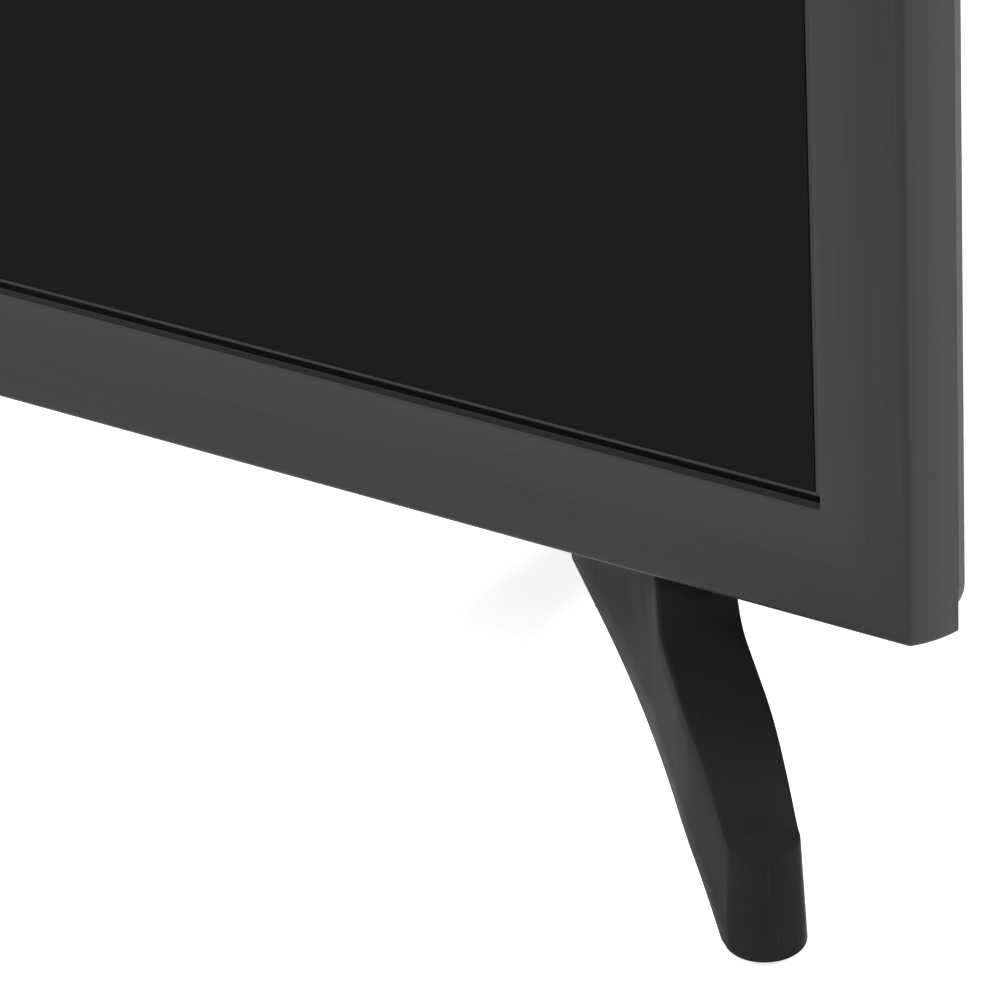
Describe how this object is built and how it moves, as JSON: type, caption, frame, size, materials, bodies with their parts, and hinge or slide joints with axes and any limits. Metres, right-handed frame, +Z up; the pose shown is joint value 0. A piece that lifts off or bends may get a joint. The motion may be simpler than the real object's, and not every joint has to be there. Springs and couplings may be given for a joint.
{
  "type": "flat screen television",
  "caption": "Flat screen television with a flared satin bezel, lit liquid crystal panel, bulged rear cover with sockets and push buttons, and splayed glossy feet.",
  "frame": {"origin": "on the table top, under the middle of the outline", "axes": "+X to the viewer's right along the screen, +Y from the screen to the back, +Z up"},
  "size_m": [0.9286, 0.1734, 0.5957],
  "materials": {
    "bezel_plastic": "satin, dark grey, faint drawn lines",
    "cover_plastic": "fine spark texture",
    "foot_plastic": "polished black",
    "pad_rubber": "matt",
    "screen_glass": "anti-glare",
    "dark_film": "smooth film",
    "white_plastic": "matt white",
    "lens_plastic": "clear moulded lens",
    "frame_plastic": "plain moulded",
    "zinc_steel": "zinc plated sheet",
    "screw_steel": "black zinc",
    "bright_screw": "bright zinc",
    "green_board": "solder mask",
    "led_aluminium": "white printed strip",
    "flex_film": "amber film",
    "ribbon_plastic": "white jacket",
    "chip_resin": "moulded resin",
    "sink_aluminium": "extruded",
    "can_sleeve": "shrink sleeve",
    "socket_plastic": "moulded",
    "av_plastic": "coloured collars",
    "wire_sleeve": "vinyl insulation",
    "cone_paper": "pressed paper",
    "button_plastic": "satin"
  },
  "bodies": {
    "root": {"av_sockets": "av_plastic", "back_plate": "zinc_steel", "board_headers": "ribbon_plastic", "board_screws": "bright_screw", "bulk_capacitors": "can_sleeve", "cell_glass": "screen_glass", "cover_screws": "screw_steel", "diffuser_plate": "white_plastic", "diffuser_supports": "white_plastic", "filter_glass": "screen_glass", "foot_brackets": "zinc_steel", "foot_left": "foot_plastic", "foot_pads": "pad_rubber", "foot_right": "foot_plastic", "foot_screws": "screw_steel", "front_bezel": "bezel_plastic", "front_polariser": "dark_film", "hdmi_sockets": "zinc_steel", "headphone_socket": "socket_plastic", "infrared_board": "green_board", "infrared_window": "dark_film", "key_board": "green_board", "key_switches": "socket_plastic", "led_lenses": "lens_plastic", "led_strips": "led_aluminium", "main_board": "green_board", "main_chips": "chip_resin", "main_heat_sink": "sink_aluminium", "mains_inlet": "socket_plastic", "mains_leads": "wire_sleeve", "mid_frame": "frame_plastic", "mount_nuts": "bright_screw", "network_socket": "zinc_steel", "optical_sheets": "white_plastic", "optical_socket": "socket_plastic", "power_board": "green_board", "power_heat_sinks": "sink_aluminium", "rear_cover": "cover_plastic", "rear_polariser": "dark_film", "reflector_sheet": "white_plastic", "screen_gasket": "pad_rubber", "signal_ribbon": "ribbon_plastic", "source_boards": "green_board", "source_flexes": "flex_film", "speaker_boxes": "frame_plastic", "speaker_cones": "cone_paper", "speaker_leads": "wire_sleeve", "terminal_plates": "zinc_steel", "timing_board": "green_board", "timing_ribbons": "ribbon_plastic", "transformers": "chip_resin", "tuner": "zinc_steel", "usb_socket": "zinc_steel"},
    "power_key": {"power_button": "button_plastic"},
    "source_key": {"source_button": "button_plastic"},
    "menu_key": {"menu_button": "button_plastic"},
    "channel_up_key": {"channel_up_button": "button_plastic"},
    "channel_down_key": {"channel_down_button": "button_plastic"},
    "volume_up_key": {"volume_up_button": "button_plastic"},
    "volume_down_key": {"volume_down_button": "button_plastic"}
  },
  "joints": [
    {"name": "power_press", "type": "slide", "parent": "root", "child": "power_key", "axis": [0, -1, 0], "range_m": [0, 0.0008], "stiffness_N_per_m": 800},
    {"name": "source_press", "type": "slide", "parent": "root", "child": "source_key", "axis": [0, -1, 0], "range_m": [0, 0.0008], "stiffness_N_per_m": 800},
    {"name": "menu_press", "type": "slide", "parent": "root", "child": "menu_key", "axis": [0, -1, 0], "range_m": [0, 0.0008], "stiffness_N_per_m": 800},
    {"name": "channel_up_press", "type": "slide", "parent": "root", "child": "channel_up_key", "axis": [0, -1, 0], "range_m": [0, 0.0008], "stiffness_N_per_m": 800},
    {"name": "channel_down_press", "type": "slide", "parent": "root", "child": "channel_down_key", "axis": [0, -1, 0], "range_m": [0, 0.0008], "stiffness_N_per_m": 800},
    {"name": "volume_up_press", "type": "slide", "parent": "root", "child": "volume_up_key", "axis": [0, -1, 0], "range_m": [0, 0.0008], "stiffness_N_per_m": 800},
    {"name": "volume_down_press", "type": "slide", "parent": "root", "child": "volume_down_key", "axis": [0, -1, 0], "range_m": [0, 0.0008], "stiffness_N_per_m": 800}
  ]
}
